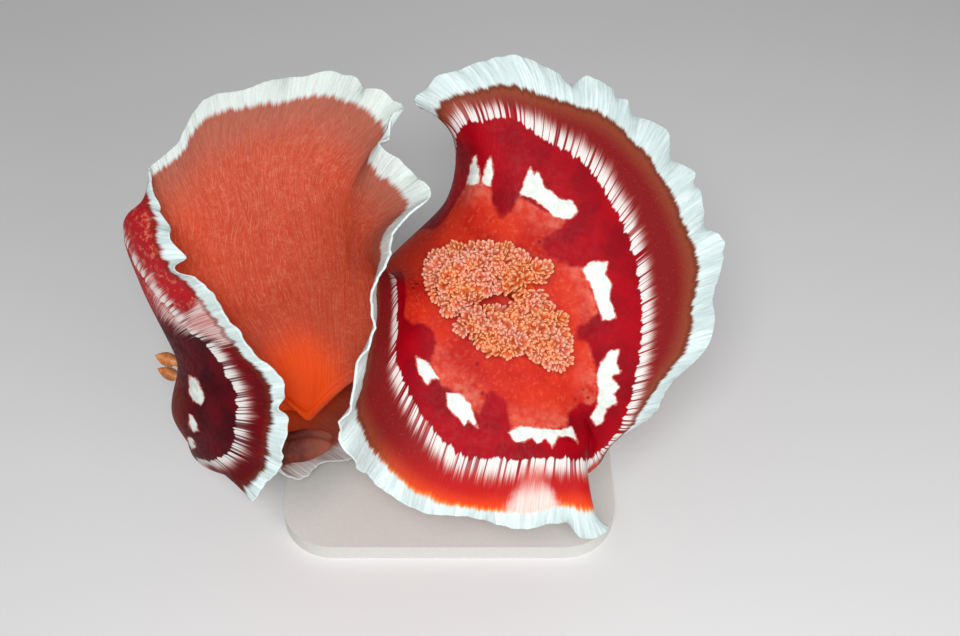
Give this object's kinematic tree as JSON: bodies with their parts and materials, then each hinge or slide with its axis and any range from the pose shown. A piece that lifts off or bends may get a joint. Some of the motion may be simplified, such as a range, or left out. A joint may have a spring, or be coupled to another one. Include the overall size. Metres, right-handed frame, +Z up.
{
  "type": "spanish dancer nudibranch display model",
  "caption": "Life-size still model of a swimming spanish dancer nudibranch with a broad frilled mantle and branched gills, held over a flat base by slim rods.",
  "frame": {"origin": "centre of the underside of the stand's base, on the surface it rests on", "axes": "+Z up; +X towards the animal's tail half, to the viewer's right; -Y towards the viewer of the picture"},
  "size_m": [0.2535, 0.1681, 0.1996],
  "materials": {
    "mantle_skin": "wet crimson skin with a white margin, a ring of pale streaks and white patches",
    "back_skin": "wet orange-red skin with fine dark dots",
    "underside_skin": "soft orange skin with fine pale fibres",
    "gill": "moist salmon-orange gill plumes with paler tips",
    "rhinophore": "ochre-orange leaflets with a pale front",
    "stand_base": "plain satin pale grey",
    "stand_rod": "brushed steel"
  },
  "bodies": {
    "root": {"head": "back_skin", "neck": "back_skin", "back_front": "back_skin", "back_middle": "back_skin", "back_rear": "back_skin", "tail": "back_skin", "foot_front": "underside_skin", "foot_middle": "underside_skin", "foot_rear": "underside_skin", "mantle_tail": "mantle_skin", "mantle_left_rear": "mantle_skin", "mantle_left_neck": "mantle_skin", "mantle_left_wing": "mantle_skin", "mantle_left_cheek": "mantle_skin", "mantle_front": "mantle_skin", "mantle_right_cheek": "mantle_skin", "mantle_right_wing": "mantle_skin", "mantle_right_neck": "mantle_skin", "mantle_right_rear": "mantle_skin", "rhinophore_left": "rhinophore", "rhinophore_right": "rhinophore", "oral_tentacle_left": "underside_skin", "oral_tentacle_right": "underside_skin", "gill_1": "gill", "gill_2": "gill", "gill_3": "gill", "gill_4": "gill", "gill_5": "gill", "gill_6": "gill", "stand_base": "stand_base", "stand_rod_front": "stand_rod", "stand_rod_rear": "stand_rod"}
  },
  "joints": []
}
